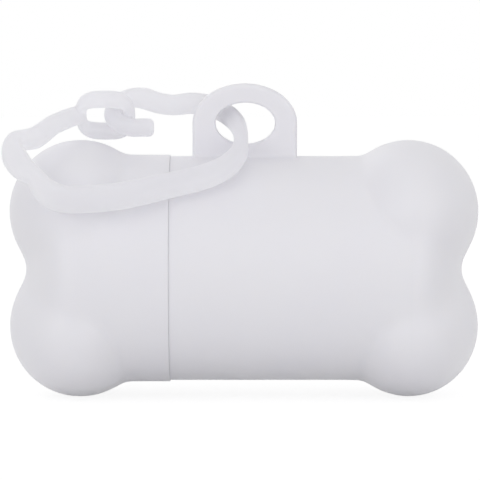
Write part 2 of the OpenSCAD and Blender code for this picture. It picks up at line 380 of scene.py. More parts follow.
@dataclass(frozen=True)
class Pattern:
    """A random pattern in a surface: its real size, its form and its share of the relief."""

    size_mm: float
    detail: float
    relief: float = 0.0
    drawn_out: tuple[float, float, float] = (1.0, 1.0, 1.0)
    roughness: float = 0.5
    distortion: float = 0.0


@dataclass(frozen=True)
class Finish:
    """What every finish has: its colour, its shine, its relief and what light does in it.

    The first pattern drives the colour, from the plain one to the shade, and the shine.
    A translucent finish lets that share of the light through to the piece's other side.
    """

    name: str
    slot: str
    colour: str
    roughness: float
    ior: float
    patterns: tuple[Pattern, ...]
    bump_mm: float
    bump_strength: float = 0.5
    shade: str = ""
    shine: tuple[float, float] = (0.0, 0.0)
    pattern_range: tuple[float, float] = (0.3, 0.7)
    subsurface: float = 0.0
    subsurface_mm: float = 1.0
    subsurface_spread: tuple[float, float, float] = (1.0, 0.95, 0.9)
    translucence: float = 0.0

    def material(self) -> Material:
        """Builds the material once and returns it.

        Returns:
            The node material.
        """
        made = bpy.data.materials.get(self.name)
        if made is not None:
            return made
        made = bpy.data.materials.new(self.name)
        tree = empty_tree(made)
        seen = add_node(tree, "ShaderNodeBsdfPrincipled", self.looks(tree))
        if self.translucence:
            through = add_node(tree, "ShaderNodeBsdfTranslucent", {"Color": srgb(WHITE)})
            seen = add_node(tree, "ShaderNodeMixShader", {0: self.translucence, 1: seen, 2: through})
        add_node(tree, "ShaderNodeOutputMaterial", {"Surface": seen})
        return made

    def looks(self, tree: NodeTree) -> dict[str, Any]:
        """Adds the patterns and works out what goes into the main shader.

        Args:
            tree: The material's tree.

        Returns:
            A value or a node for each of the shader's sockets.
        """
        place = add_node(tree, "ShaderNodeTexCoord").outputs["Object"]
        noises = []
        for pattern in self.patterns:
            scale = tuple(1 / by for by in pattern.drawn_out)
            mapped = add_node(tree, "ShaderNodeMapping", {"Vector": place, "Scale": scale})
            noises.append(add_node(tree, "ShaderNodeTexNoise", {
                "Vector": mapped, "Scale": 1 / (pattern.size_mm * MM),
                "Detail": pattern.detail, "Roughness": pattern.roughness,
                "Distortion": pattern.distortion,
            }))
        tone, height = self.surface(tree, place, noises)
        looks = {
            "Base Color": srgb(self.colour), "Roughness": self.roughness, "IOR": self.ior,
            "Subsurface Weight": self.subsurface,
            "Subsurface Radius": self.subsurface_spread,
            "Subsurface Scale": self.subsurface_mm * MM,
            "Normal": add_node(tree, "ShaderNodeBump", {
                "Height": height, "Strength": self.bump_strength,
                "Distance": self.bump_mm * MM,
            }),
        }
        if self.shade:
            colours = {"Factor": tone, "A": srgb(self.colour), "B": srgb(self.shade)}
            looks["Base Color"] = add_node(tree, "ShaderNodeMix", colours, data_type="RGBA")
        if any(self.shine):
            low, high = self.pattern_range
            looks["Roughness"] = add_node(tree, "ShaderNodeMapRange", {
                "Value": tone, "From Min": low, "From Max": high,
                "To Min": self.roughness + self.shine[0],
                "To Max": self.roughness + self.shine[1],
            })
        return looks

    def surface(self, tree: NodeTree, place: NodeSocket, noises: list[Node]) -> tuple[Node, Node]:
        """Adds up the surface from its patterns.

        Args:
            tree: The material's tree.
            place: The coordinates on the piece, in metres.
            noises: The node of each pattern.

        Returns:
            The node that drives the colour and the shine, and the node of the relief.
        """
        height = 0.0
        for pattern, noise in zip(self.patterns, noises):
            if pattern.relief:
                terms = {0: noise, 1: pattern.relief, 2: height}
                height = add_node(tree, MATHS, terms, operation="MULTIPLY_ADD")
        return noises[0], height


@dataclass(frozen=True)
class MouldedPolypropylene(Finish):
    """Injection-moulded polypropylene, satin from a lightly blasted mould.

    It gives soft broad highlights, a faint unevenness of the shine where the melt
    flowed, and light that goes a little way into the wall. The patterns are the flow
    marks, a faint ripple and the grain of the blasted mould.
    """

    name: str = "moulded_white_polypropylene"
    slot: str = "moulded_white_shell"
    colour: str = "#EDECF0"
    shade: str = "#EAE9EF"
    roughness: float = 0.44
    shine: tuple[float, float] = (-0.04, 0.04)
    ior: float = 1.49
    subsurface: float = 0.3
    subsurface_mm: float = 0.9
    patterns: tuple[Pattern, ...] = (
        Pattern(11.0, 3.0), Pattern(2.6, 1.0, relief=1.0), Pattern(0.45, 2.0, relief=0.3),
    )
    bump_mm: float = 0.012


@dataclass(frozen=True)
class SoftPolyethylene(Finish):
    """Moulded low-density polyethylene, waxy, flexible and translucent.

    It is duller than the shells, glows where it is lit from behind, and throws a pale
    shadow. The patterns are faint handling waves and a waxy grain.
    """

    name: str = "soft_white_polyethylene"
    slot: str = "soft_white_strap"
    colour: str = "#E7E6EC"
    roughness: float = 0.5
    shine: tuple[float, float] = (-0.06, 0.05)
    ior: float = 1.51
    subsurface: float = 0.3
    subsurface_mm: float = 3.0
    translucence: float = 0.62
    patterns: tuple[Pattern, ...] = (Pattern(3.5, 2.0, relief=1.0), Pattern(0.3, 1.0, relief=0.2))
    bump_mm: float = 0.02


@dataclass(frozen=True)
class KraftBoard(Finish):
    """Kraft board wound into a tube: brown, matt and fibrous, with a spiral seam."""

    name: str = "spiral_wound_kraft_board"
    slot: str = "kraft_board"
    colour: str = "#B8966B"
    shade: str = "#8F6D46"
    roughness: float = 0.9
    ior: float = 1.5
    patterns: tuple[Pattern, ...] = (
        Pattern(0.5, 4.0, drawn_out=(7.0, 1.0, 1.0), roughness=0.65),
    )
    speckle: tuple[float, float] = (0.35, 0.8)
    seam_pitch_mm: float = 24.0
    seam_share: float = 0.025
    bump_mm: float = 0.05
    bump_strength: float = 0.7

    def surface(self, tree: NodeTree, place: NodeSocket, noises: list[Node]) -> tuple[Node, Node]:
        """Adds fibres along the tube and the seam where the strip's edges meet.

        Args:
            tree: The material's tree.
            place: The coordinates on the piece, in metres.
            noises: The node of the fibres.

        Returns:
            The node that drives the colour, and the node of the relief.
        """
        fibres = noises[0]
        low, high = self.speckle
        centre = (-TUBE_MIDDLE).tolist()
        centred = add_node(tree, "ShaderNodeMapping", {"Vector": place, "Location": centre})
        parts = add_node(tree, "ShaderNodeSeparateXYZ", {0: centred}).outputs
        turn = add_node(tree, MATHS, {0: parts["Z"], 1: parts["Y"]}, operation="ARCTAN2")
        share = add_node(tree, MATHS, {0: turn, 1: 2 * math.pi}, operation="DIVIDE")
        along = {0: parts["X"], 1: 1 / (self.seam_pitch_mm * MM), 2: share}
        winding = add_node(tree, MATHS, along, operation="MULTIPLY_ADD")
        phase = add_node(tree, MATHS, {0: winding}, operation="FRACT")
        seam = add_node(tree, MATHS, {0: phase, 1: self.seam_share}, operation="LESS_THAN")
        spread = {"Value": fibres, "From Min": low, "From Max": high}
        speckle = add_node(tree, "ShaderNodeMapRange", spread)
        tone = add_node(tree, MATHS, {0: speckle, 1: seam}, operation="MAXIMUM")
        return tone, add_node(tree, MATHS, {0: fibres, 1: seam}, operation="SUBTRACT")


@dataclass(frozen=True)
class BagFilm(Finish):
    """Thin polyethylene film, folded and wound tight.

    Many clinging layers make it milky and slippery-bright, with fine creases that run
    round the roll where the folded film was drawn tight.
    """

    name: str = "wound_polyethylene_film"
    slot: str = "bag_film"
    colour: str = "#CCDBDB"
    shade: str = "#B9CDCD"
    roughness: float = 0.34
    ior: float = 1.51
    subsurface: float = 0.3
    subsurface_mm: float = 1.5
    patterns: tuple[Pattern, ...] = (
        Pattern(1.1, 3.0, relief=1.0, drawn_out=(1.0, 6.0, 6.0), distortion=0.6),
    )
    bump_mm: float = 0.12
    bump_strength: float = 0.6


SHELL = MouldedPolypropylene()
STRAP = SoftPolyethylene()
BOARD = KraftBoard()
FILM = BagFilm()


def dress(piece: Object, finish: Finish, carrier: Carrier, *nodes: str) -> None:
    """Gives a piece its finish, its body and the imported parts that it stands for.

    Args:
        piece: The finished piece.
        finish: Its finish.
        carrier: The body that it rides on.
        nodes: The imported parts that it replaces.
    """
    piece.data.materials.clear()
    piece.data.materials.append(finish.material())
    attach(piece, carrier.value)
    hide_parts(*nodes)
    piece.data.calc_loop_triangles()
    LOG.info("%s: %d triangles on %s", piece.name, len(piece.data.loop_triangles), carrier.value)


# ---- The bone's surface ----


@dataclass(frozen=True)
class BoneForm:
    """Outer surface of the bone: a barrel closed by a dome, and two lobes at each end."""

    barrel_r: float = 20.0
    lobe_x: float = 29.5
    lobe_z: float = 10.25
    lobe_half_len: float = 12.45
    lobe_half_depth: float = 19.0
    lobe_half_height: float = 12.6
    dome_len: float = 9.2
    neck_blend: float = 0.4
    waist_blend: float = 0.8
    blend_from: float = 24.0
    blend_len: float = 10.0
    rise_start: float = 20.3
    nearest: float = 5.0
    farthest: float = 30.0
    halvings: int = 26

    @staticmethod
    def ellipsoid_distance(points: np.ndarray, axes: np.ndarray) -> np.ndarray:
        """Close estimate of how far points are from an ellipsoid with these half axes."""
        near = np.linalg.norm(points / axes, axis=-1)
        return near * (near - 1) / np.linalg.norm(points / axes ** 2, axis=-1)

    def distance(self, points: np.ndarray, inset: float) -> np.ndarray:
        """Distance of points from the bone's surface.

        Args:
            points: The points, from the bone's middle.
            inset: How far the surface is drawn in, for the inside of a wall.

        Returns:
            The distances, negative inside.
        """
        along, depth, height = np.abs(points[..., 0]), points[..., 1], points[..., 2]
        dome = np.array([self.dome_len, self.barrel_r, self.barrel_r]) - inset
        lobe = np.array([self.lobe_half_len, self.lobe_half_depth, self.lobe_half_height])
        lobe = lobe - inset
        past_lobe = along - self.lobe_x
        forms = [
            (np.maximum(0, past_lobe), height, dome),
            (past_lobe, height - self.lobe_z, lobe),
            (past_lobe, height + self.lobe_z, lobe),
        ]
        eased = np.clip((along - self.blend_from) / self.blend_len, 0, 1)
        eased = eased * eased * (3 - 2 * eased)
        blend = self.neck_blend + (self.waist_blend - self.neck_blend) * eased
        total = np.zeros_like(along)
        for x, z, axes in forms:
            total += np.exp(-self.ellipsoid_distance(np.stack([x, depth, z], -1), axes) / blend)
        return -blend * np.log(total)

    def reach(self, starts: np.ndarray, ways: np.ndarray, inset: float) -> np.ndarray:
        """How far the surface is from each start, along each way.

        Args:
            starts: Where the rays begin.
            ways: Their unit directions.
            inset: How far the surface is drawn in.

        Returns:
            The lengths of the rays.
        """
        low = np.full(starts.shape[:-1], self.nearest)
        high = np.full(starts.shape[:-1], self.farthest)
        for _ in range(self.halvings):
            middle = (low + high) / 2
            inside = self.distance(starts + middle[..., None] * ways, inset) < 0
            low = np.where(inside, middle, low)
            high = np.where(inside, high, middle)
        return (low + high) / 2


@dataclass
class BoneEnd:
    """One hollow end of the bone, moulded as two halves welded on the eyelet's plane.

    It is built pointing along +X, from its mouth to its tip, a little too long if it is
    the short end, then drawn in by that much and mirrored if need be.
    """

    form: BoneForm = BoneForm()
    wall: float = 1.6
    mouth: float = 13.007
    short: float = 0.0
    points_left: bool = False
    seat_r: float = 18.52
    seat_depth: float = 8.118
    barrel_rings: int = 8
    rise_rings: int = 34
    tip_rings: int = 30
    half_steps: int = 120
    seat_step: float = 0.02
    rim_round: float = 0.06
    rim_steps: int = 6
    weld_groove: float = 0.05
    weld_groove_turn: float = 0.35

    def gain(self, along: float) -> float:
        """What the outer radius gains over the bone's form at a place on the barrel."""
        return 0.0

    def rays(self) -> np.ndarray:
        """Rays from the axis, from the mouth to the tip.

        Returns:
            Rows of start, tilt in radians, outer gain and inner gain, in millimetres.
        """
        form = self.form
        mouth = self.mouth + self.short
        seat_gain = self.seat_r - (form.barrel_r - self.wall)
        rows = []
        for back, lost in rounding(self.rim_round, self.rim_steps):
            rows.append((mouth + back, 0.0, self.gain(mouth + back) - lost, seat_gain))
        seat_end = mouth + self.seat_depth
        start = rows[-1][0]
        stations = list(np.linspace(start, form.rise_start, self.barrel_rings + 1)[1:-1])
        stations += [seat_end, seat_end + self.seat_step]
        stations += list(np.linspace(form.rise_start, form.lobe_x, self.rise_rings))
        for x in sorted(stations):
            rows.append((x, 0.0, self.gain(x), seat_gain if x <= seat_end else 0.0))
        for tilt in np.linspace(0, math.pi / 2, self.tip_rings + 1)[1:]:
            rows.append((form.lobe_x, tilt, 0.0, 0.0))
        return np.array(rows)

    def turns(self) -> np.ndarray:
        """Angles round the half, from its upper weld to its lower one, in radians."""
        even = np.linspace(0, math.pi, self.half_steps + 1)
        edge = math.radians(self.weld_groove_turn)
        return np.concatenate([[0, edge], even[1:-1], [math.pi - edge, math.pi]])

    def half(self, name: str, side: Side) -> Object:
        """Builds the wall of one half.

        Args:
            name: Name of the piece.
            side: Front or rear half.

        Returns:
            The piece, as one closed mesh.
        """
        rays, turns = self.rays(), self.turns()
        start, tilt, outer_gain, inner_gain = rays.T[..., None]
        across, up = side.value * np.cos(tilt) * np.sin(turns), np.cos(tilt) * np.cos(turns)
        ways = np.stack([np.sin(tilt) + 0 * turns, across, up], -1)
        starts = np.zeros_like(ways)
        starts[..., 0] = start
        groove = np.zeros(ways.shape[:2])
        groove[:-1, [0, -1]] = -self.weld_groove
        skins = []
        for inset, gain in ((0.0, outer_gain + groove), (self.wall, inner_gain)):
            reach = self.form.reach(starts, ways, inset) + gain
            skins.append(starts + ways * reach[..., None])
        points = np.array(skins).reshape(-1, 3)
        points[:, 0] -= self.short
        if self.points_left:
            points[:, 0] *= -1
        return make_piece(name, points, self.faces(len(rays), len(turns)))

    @staticmethod
    def faces(rows: int, columns: int) -> list[list[int]]:
        """Faces of a half: outside, inside, welds and mouth.

        Args:
            rows: Number of rays along the half.
            columns: Number of rays round it.

        Returns:
            The faces, as lists of point numbers.
        """
        outer, inner = numbers = np.arange(2 * rows * columns).reshape(2, rows, columns)
        strips = [(skin[:-1, :-1], skin[:-1, 1:], skin[1:, 1:], skin[1:, :-1]) for skin in numbers]
        for edge in (0, -1):
            here, there = outer[:, edge], inner[:, edge]
            strips.append((here[:-1], here[1:], there[1:], there[:-1]))
        here, there = outer[0], inner[0]
        strips.append((here[:-1], there[:-1], there[1:], here[1:]))
        return np.concatenate([np.stack(strip, -1).reshape(-1, 4) for strip in strips]).tolist()


# ---- Body, with its eyelet and its bag slot ----


@dataclass(frozen=True)
class Eyelet:
    """Flat plate on top of the body, with an oval hole and rounded edges."""

    middle_x: float = 0.3
    half_w: float = 9.3
    shoulder_z: float = 26.0
    rise: float = 6.95
    thickness: float = 4.4
    hole_x: float = 0.4
    hole_z: float = 25.9
    hole_half_w: float = 5.3
    hole_half_h: float = 3.7
    edge_round: float = 0.75
    hole_round: float = 0.4
    foot_z: float = 18.9
    barrel_r: float = 20.0
    foot_fillet: float = 0.9
    weld_groove: float = 0.04
    around: int = 240
    round_steps: int = 6
    face_loops: int = 12
    halvings: int = 30

    def middle(self) -> np.ndarray:
        """The hole's middle, as X and Z."""
        return np.array([self.hole_x, self.hole_z])

    def ways(self) -> np.ndarray:
        """Unit vectors from the hole's middle, all round in the plate's plane."""
        turns = full_turn(self.around)
        return np.stack([np.cos(turns), np.sin(turns)], -1)

    def outer_loop(self, inset: float) -> np.ndarray:
        """Outline of the plate, drawn in, on rays from the hole's middle.

        Args:
            inset: How far it is drawn in.

        Returns:
            Rows of X and Z.
        """
        ways = self.ways()
        half_w, rise = self.half_w - inset, self.rise - inset
        low = np.zeros(self.around)
        high = np.full(self.around, 2 * self.half_w + self.rise)
        for _ in range(self.halvings):
            middle = (low + high) / 2
            x, z = (self.middle() + ways * middle[:, None]).T
            above = np.maximum(0, z - self.shoulder_z)
            inside = ((x - self.middle_x) / half_w) ** 2 + (above / rise) ** 2 < 1
            inside &= z > self.foot_z
            low = np.where(inside, middle, low)
            high = np.where(inside, high, middle)
        return self.middle() + ways * high[:, None]

    def hole_loop(self, growth: float) -> np.ndarray:
        """Outline of the hole, as rows of X and Z, with both half axes grown."""
        axes = np.array([self.hole_half_w + growth, self.hole_half_h + growth])
        return self.middle() + self.ways() / np.linalg.norm(self.ways() / axes, axis=-1)[:, None]

    def half(self, side: Side) -> Object:
        """Builds the half of the plate on one side of the weld.

        Args:
            side: Front or rear half.

        Returns:
            The half plate, down into the barrel's wall.
        """
        half_t = self.thickness / 2
        loops = [(self.outer_loop(self.weld_groove), WELD_GAP)]
        loops.append((self.outer_loop(0), self.weld_groove * 2))
        for inset, lost in rounding(self.edge_round, self.round_steps):
            loops.append((self.outer_loop(inset), half_t - lost))
        outer, inner = self.outer_loop(self.edge_round), self.hole_loop(self.hole_round)
        for share in np.linspace(0, 1, self.face_loops + 2)[1:-1]:
            loops.append((outer + (inner - outer) * share, half_t))
        for growth, lost in rounding(self.hole_round, self.round_steps)[::-1]:
            loops.append((self.hole_loop(growth), half_t - lost))
        loops.append((self.hole_loop(0), self.weld_groove * 2))
        loops.append((self.hole_loop(self.weld_groove), WELD_GAP))
        points = []
        for outline, depth in loops:
            x, z = outline.T
            across = side.value * (depth + (self.fillet(z) if depth > half_t / 2 else 0 * z))
            points.append(np.stack([x, across, z], -1))
        faces = loops_to_faces(len(loops), self.around, closed=True)
        return make_piece("eyelet_half", np.concatenate(points), faces)

    def fillet(self, heights: np.ndarray) -> np.ndarray:
        """How much the plate thickens where it runs into the barrel.

        Args:
            heights: Heights above the barrel's axis.

        Returns:
            What each face gains there.
        """
        surface = math.sqrt(self.barrel_r ** 2 - (self.thickness / 2 + self.foot_fillet) ** 2)
        below = np.clip(surface + self.foot_fillet - heights, 0, self.foot_fillet)
        return self.foot_fillet - np.sqrt(self.foot_fillet ** 2 - below ** 2)


@dataclass(frozen=True)
class BagSlot:
    """Slot with round ends and an eased lip, in the back of the body."""

    barrel_r: float = 20.0
    middle_x: float = 8.0
    length: float = 25.0
    width: float = 7.0
    lip: float = 0.5
    lip_turn: float = 75.0
    lip_steps: int = 6
    end_steps: int = 28
    side_steps: int = 24
    depth: float = 4.0

    def outline(self, growth: float) -> np.ndarray:
        """Outline of the slot, grown by a lip.

        Args:
            growth: How much its half width grows.

        Returns:
            Rows of X and Z.
        """
        half_run = (self.length - self.width) / 2
        radius = self.width / 2 + growth
        bends = np.linspace(-math.pi / 2, math.pi / 2, self.end_steps)
        run = np.linspace(half_run, -half_run, self.side_steps)[1:-1]
        right = np.stack([half_run + radius * np.cos(bends), radius * np.sin(bends)], -1)
        top = np.stack([run, np.full(len(run), radius)], -1)
        return np.concatenate([right, top, -right, -top]) + np.array([self.middle_x, 0.0])

    def cutter(self) -> Object:
        """Builds the closed form that is cut out of the rear shell.

        Returns:
            The cutter.
        """
        levels = [(0.0, self.depth), (0.0, self.lip)]
        levels += rounding(self.lip, self.lip_steps, self.lip_turn)[1:]
        levels.append((levels[-1][0] + self.lip, -self.lip))
        points = []
        for growth, below in levels:
            x, z = self.outline(growth).T
            points.append(np.stack([x, np.sqrt(self.barrel_r ** 2 - z ** 2) - below, z], -1))
        count = len(points[0])
        faces = loops_to_faces(len(points), count, closed=False)
        faces.append(list(range(count)))
        faces.append(list(range(len(points) * count - 1, (len(points) - 1) * count - 1, -1)))
        return make_piece("slot_cutter", np.concatenate(points), faces)


@dataclass
class BoneBody(BoneEnd):
    """The long end: it holds the roll and carries the eyelet and the bag slot."""

    mouth: float = -12.993
    barrel_rings: int = 20
    eyelet: Eyelet = Eyelet()
    slot: BagSlot = BagSlot()

    def build(self) -> None:
        """Builds and dresses both shells of the body."""
        for side in Side:
            name = f"{side.name.lower()}_shell_with_eyelet"
            shell = self.half(name, side)
            join(shell, self.eyelet.half(side), Join.UNION)
            if side is Side.REAR:
                join(shell, self.slot.cutter(), Join.CUT)
            smooth_shade(shell)
            dress(shell, SHELL, Carrier.BODY, f"body_{side.name.lower()}_shell")


# ---- Cap ----


@dataclass
class EndCap(BoneEnd):
    """The short end, which is pushed over the body's neck."""

    points_left: bool = True
    short: float = 0.3
    flare: float = 0.25
    rim_round: float = 0.04
    rim_steps: int = 4

    def gain(self, along: float) -> float:
        """The cap is a little wider than the barrel, easing off where its lobes rise."""
        share = (along - self.form.rise_start) / (self.form.lobe_x - self.form.rise_start)
        return self.flare * (1 - max(0.0, min(1.0, share)))

    def build(self) -> None:
        """Builds and dresses both shells of the cap."""
        for side in Side:
            shell = self.half(f"{side.name.lower()}_shell_of_cap", side)
            smooth_shade(shell)
            dress(shell, SHELL, Carrier.CAP, f"cap_{side.name.lower()}_shell")


@dataclass
class PushFit:
    """The neck on the body and the collar in the cap that grips it."""

    body_mouth: float = -12.875
    cap_mouth: float = -13.125
    seat_r: float = 18.5
    seat_depth: float = 8.0
    neck_r: float = 17.44
    neck_len: float = 7.8
    neck_bore_r: float = 16.2
    neck_lead: float = 0.5
    collar_bore_r: float = 17.5
    collar_stop_r: float = 16.6
    collar_stop: float = 1.0
    stop_gap: float = 0.4
    seat_step: float = 0.3
    edge_round: float = 0.18
    segments: int = 192

    def neck(self) -> Object:
        """Builds the neck ring, seated in the body's mouth.

        Returns:
            The ring.
        """
        tip = self.body_mouth - self.neck_len
        foot = self.body_mouth + self.seat_depth
        corners = [
            (self.neck_bore_r, tip),
            (self.neck_r - self.neck_lead, tip),
            (self.neck_r, tip + self.neck_lead),
            (self.neck_r, self.body_mouth),
            (self.seat_r, self.body_mouth),
            (self.seat_r, foot),
            (self.neck_bore_r, foot),
        ]
        return turned("round_neck", rounded(corners, self.edge_round), self.segments)

    def collar(self) -> Object:
        """Builds the collar, seated in the cap's mouth, with the stop behind the neck.

        Returns:
            The collar.
        """
        stop_face = self.body_mouth - self.neck_len - self.stop_gap
        end = stop_face - self.collar_stop
        seat_end = self.cap_mouth - self.seat_depth
        corners = [
            (self.collar_bore_r, self.cap_mouth),
            (self.seat_r, self.cap_mouth),
            (self.seat_r, seat_end),
            (self.seat_r - self.seat_step, seat_end),
            (self.neck_r, end),
            (self.collar_stop_r, end),
            (self.collar_stop_r, stop_face),
            (self.collar_bore_r, stop_face),
        ]
        return turned("grip_collar", rounded(corners, self.edge_round), self.segments)

    def build(self) -> None:
        """Builds and dresses the neck and the collar."""
        dress(self.neck(), SHELL, Carrier.BODY, "neck_ring")
        dress(self.collar(), SHELL, Carrier.CAP, "cap_collar")


# ---- Strap ----


@dataclass
class HookStrap:
    """Flexible strap: a hook at one end, caught in a ring at the other end.

    Each row of the route is X, Y, Z, the width across the loop's plane, the thickness,
    and the lean of the section in degrees. The route runs from the hook's tip round the
    ring's side bar, behind the eyelet, through its hole, down the front, round the left
    lobe and up to the ring.
    """

    route: tuple = (
        (-15.8, -2.4, 25.2, 1.9, 2.0, 0), (-16.5, -2.4, 25.2, 3.2, 2.9, 0),
        (-17.8, -2.4, 25.2, 3.25, 3.0, 0), (-19.9, -2.3, 25.2, 3.25, 3.0, 0),
        (-22.1, -1.6, 25.9, 3.2, 3.0, 0), (-23.2, 0.0, 27.4, 3.2, 3.0, 0),
        (-22.2, 1.6, 29.3, 3.3, 3.0, 0), (-19.9, 2.3, 30.3, 3.5, 3.1, 0),
        (-17.7, 2.8, 30.2, 3.85, 3.2, 0), (-16.2, 3.2, 29.7, 3.8, 3.2, 0),
        (-14.8, 3.6, 29.3, 3.75, 3.2, 0), (-12.5, 4.1, 29.0, 3.7, 3.2, 0),
        (-9.5, 4.4, 29.3, 3.85, 3.2, 0), (-6.7, 4.5, 29.1, 3.7, 3.1, 0),
        (-4.7, 4.5, 28.3, 3.7, 2.9, 0), (-3.0, 3.6, 27.4, 3.65, 2.8, 0),
        (-1.8, 0.7, 26.5, 3.5, 3.0, 0), (-1.1, -1.8, 25.7, 3.2, 3.1, 0),
        (-0.5, -4.2, 24.3, 2.65, 3.3, 0), (-0.4, -6.0, 22.6, 2.6, 3.5, 5),
        (-0.8, -8.8, 20.9, 3.2, 3.5, 20), (-2.2, -11.9, 19.3, 3.9, 3.5, 35),
        (-4.0, -14.2, 18.2, 4.3, 3.5, 42), (-6.5, -15.6, 17.2, 4.5, 3.5, 43),
        (-9.6, -16.5, 16.4, 4.5, 3.5, 42), (-13.0, -17.6, 15.7, 4.6, 3.5, 38),
        (-17.8, -19.7, 14.7, 4.7, 3.5, 22), (-21.7, -21.0, 14.0, 4.75, 3.5, 10),
        (-26.4, -21.4, 13.6, 4.8, 3.5, 6), (-30.2, -21.4, 13.5, 4.8, 3.5, 6),
        (-32.6, -21.3, 14.1, 4.75, 3.5, 8), (-34.4, -21.0, 15.3, 4.3, 3.5, 12),
        (-35.9, -20.4, 17.2, 3.5, 3.5, 10), (-38.1, -19.2, 18.8, 4.4, 3.5, 6),
        (-39.5, -17.7, 20.5, 4.5, 3.5, 4), (-40.1, -15.7, 22.1, 3.6, 3.5, 0),
        (-39.6, -13.9, 23.2, 3.6, 3.4, 0), (-38.1, -12.6, 23.4, 3.75, 3.4, 0),
        (-36.5, -11.5, 23.7, 3.9, 3.4, 0), (-35.1, -10.2, 24.6, 3.75, 3.3, 0),
        (-33.5, -8.0, 25.8, 3.55, 3.2, 0), (-31.9, -4.8, 26.5, 3.5, 3.1, 0),
        (-30.6, -2.6, 27.0, 3.45, 3.1, 0), (-29.1, -0.6, 27.4, 3.2, 3.0, 0),
    )
    squareness: float = 2.6
    ring_middle: tuple = (-24.55, 0.0, 27.3)
    ring_half_len: float = 4.35
    ring_half_height: float = 4.4
    ring_squareness: float = 3.0
    ring_lean: float = 48.0
    ring_bar: float = 3.1
    ring_side: float = 2.0
    ring_points: int = 28
    sides: int = 40
    steps: int = 8
    voxel: float = 0.21
    ease: float = 0.5
    smoothings: int = 5

    def ring_rows(self) -> tuple[np.ndarray, np.ndarray]:
        """Middle line and widths of the ring, a rounded rectangle that leans forward.

        Returns:
            Rows of place, and rows of width and thickness.
        """
        lean = math.radians(self.ring_lean)
        turns = full_turn(self.ring_points)
        waves = np.stack([np.cos(turns), np.sin(turns)])
        right, rise = np.sign(waves) * np.abs(waves) ** (2 / self.ring_squareness)
        right, rise = right * self.ring_half_len, rise * self.ring_half_height
        flat = np.stack([right, -rise * math.sin(lean), rise * math.cos(lean)], -1)
        places = np.array(self.ring_middle) + flat
        heading = np.roll(places, -1, axis=0) - np.roll(places, 1, axis=0)
        heading /= np.linalg.norm(heading, axis=1)[:, None]
        width = self.ring_side + (self.ring_bar - self.ring_side) * heading[:, 0] ** 2
        return places, np.stack([width, (self.ring_bar + width) / 2], -1)

    def path(self) -> Object:
        """Builds the middle lines of the strap and of its ring, with their sizes.

        Returns:
            A mesh of edges, whose points hold their size (half the width, half the
            thickness and the lean), the loop's plane and the section's corner.
        """
        route = np.array(self.route, float)
        ring, ring_sizes = self.ring_rows()
        lean = math.radians(self.ring_lean)
        run, loop = len(route), len(ring)
        edges = [(i, i + 1) for i in range(run - 1)]
        edges += [(run + i, run + (i + 1) % loop) for i in range(loop)]
        piece = make_piece("hook_and_ring", np.concatenate([route[:, :3], ring]), [], edges)
        planes = [[0.0, 1.0, 0.0]] * run + [[0.0, math.cos(lean), math.sin(lean)]] * loop
        halves = np.concatenate([route[:, 3:5], ring_sizes]) * MM / 2
        leans = np.concatenate([np.radians(route[:, 5]), np.zeros(loop)])
        values = {
            "size": np.column_stack([halves, leans]),
            "plane": np.array(planes),
            "corner": np.concatenate([np.full(run, 2 / self.squareness), np.ones(loop)]),
        }
        for label, numbers in values.items():
            kind, key = ("FLOAT", "value") if numbers.ndim == 1 else ("FLOAT_VECTOR", "vector")
            layer = piece.data.attributes.new(label, kind, "POINT")
            layer.data.foreach_set(key, numbers.astype(np.float32).ravel())
        return piece

    @staticmethod
    def sweep_tree() -> NodeTree:
        """Builds the tree that sweeps a section of changing size along a path.

        Returns:
            The geometry tree, with the inputs Steps, Sides and Finish.
        """
        tree, given = open_tree("strap_sweep", {"Steps": "Int", "Sides": "Int", "Finish": "Material"})
        kinds = dict.fromkeys(("size", "plane", "middle", "across", "through"), "FLOAT_VECTOR")
        kinds |= {"corner": "FLOAT", "turn": "FLOAT"}
        held = {
            label: add_node(tree, "GeometryNodeInputNamedAttribute", {"Name": label}, data_type=kind)
            for label, kind in kinds.items()
        }
        line = add_node(tree, "GeometryNodeMeshToCurve", {"Mesh": given["Geometry"]})
        bent = add_node(tree, "GeometryNodeCurveSplineType", {"Curve": line}, spline_type="CATMULL_ROM")
        fine = add_node(
            tree, "GeometryNodeSetSplineResolution",
            {"Geometry": bent, "Resolution": given["Steps"]},
        )
        made = add_node(tree, "GeometryNodeResampleCurve", {"Curve": fine}, mode="EVALUATED")
        heading = add_node(tree, "GeometryNodeInputTangent")
        size = add_node(tree, "ShaderNodeSeparateXYZ", {0: held["size"]}).outputs
        ways = {0: heading, 1: held["plane"]}
        square = add_node(tree, VECTORS, ways, operation="CROSS_PRODUCT")
        flat = add_node(tree, VECTORS, {0: square}, operation="NORMALIZE")
        lean = {"Vector": flat, "Axis": heading, "Angle": size["Z"]}
        across = add_node(tree, "ShaderNodeVectorRotate", lean)
        through = add_node(tree, VECTORS, {0: heading, 1: across}, operation="CROSS_PRODUCT")
        wide = add_node(tree, VECTORS, {0: across, "Scale": size["X"]}, operation="SCALE")
        thick = add_node(tree, VECTORS, {0: through, "Scale": size["Y"]}, operation="SCALE")
        middle = add_node(tree, "GeometryNodeInputPosition")
        kept = {"middle": middle, "across": wide, "through": thick}
        for label, value in kept.items():
            made = add_node(
                tree, "GeometryNodeStoreNamedAttribute",
                {"Geometry": made, "Name": label, "Value": value}, data_type="FLOAT_VECTOR",
            )
        circle = add_node(
            tree, "GeometryNodeCurvePrimitiveCircle",
            {"Resolution": given["Sides"], "Radius": MM}, mode="RADIUS",
        )
        share = add_node(tree, "GeometryNodeSplineParameter").outputs["Factor"]
        turn = add_node(tree, MATHS, {0: share, 1: 2 * math.pi}, operation="MULTIPLY")
        section = add_node(
            tree, "GeometryNodeStoreNamedAttribute",
            {"Geometry": circle, "Name": "turn", "Value": turn}, data_type="FLOAT",
        )
        swept = add_node(
            tree, "GeometryNodeCurveToMesh",
            {"Curve": made, "Profile Curve": section, "Fill Caps": True},
        )
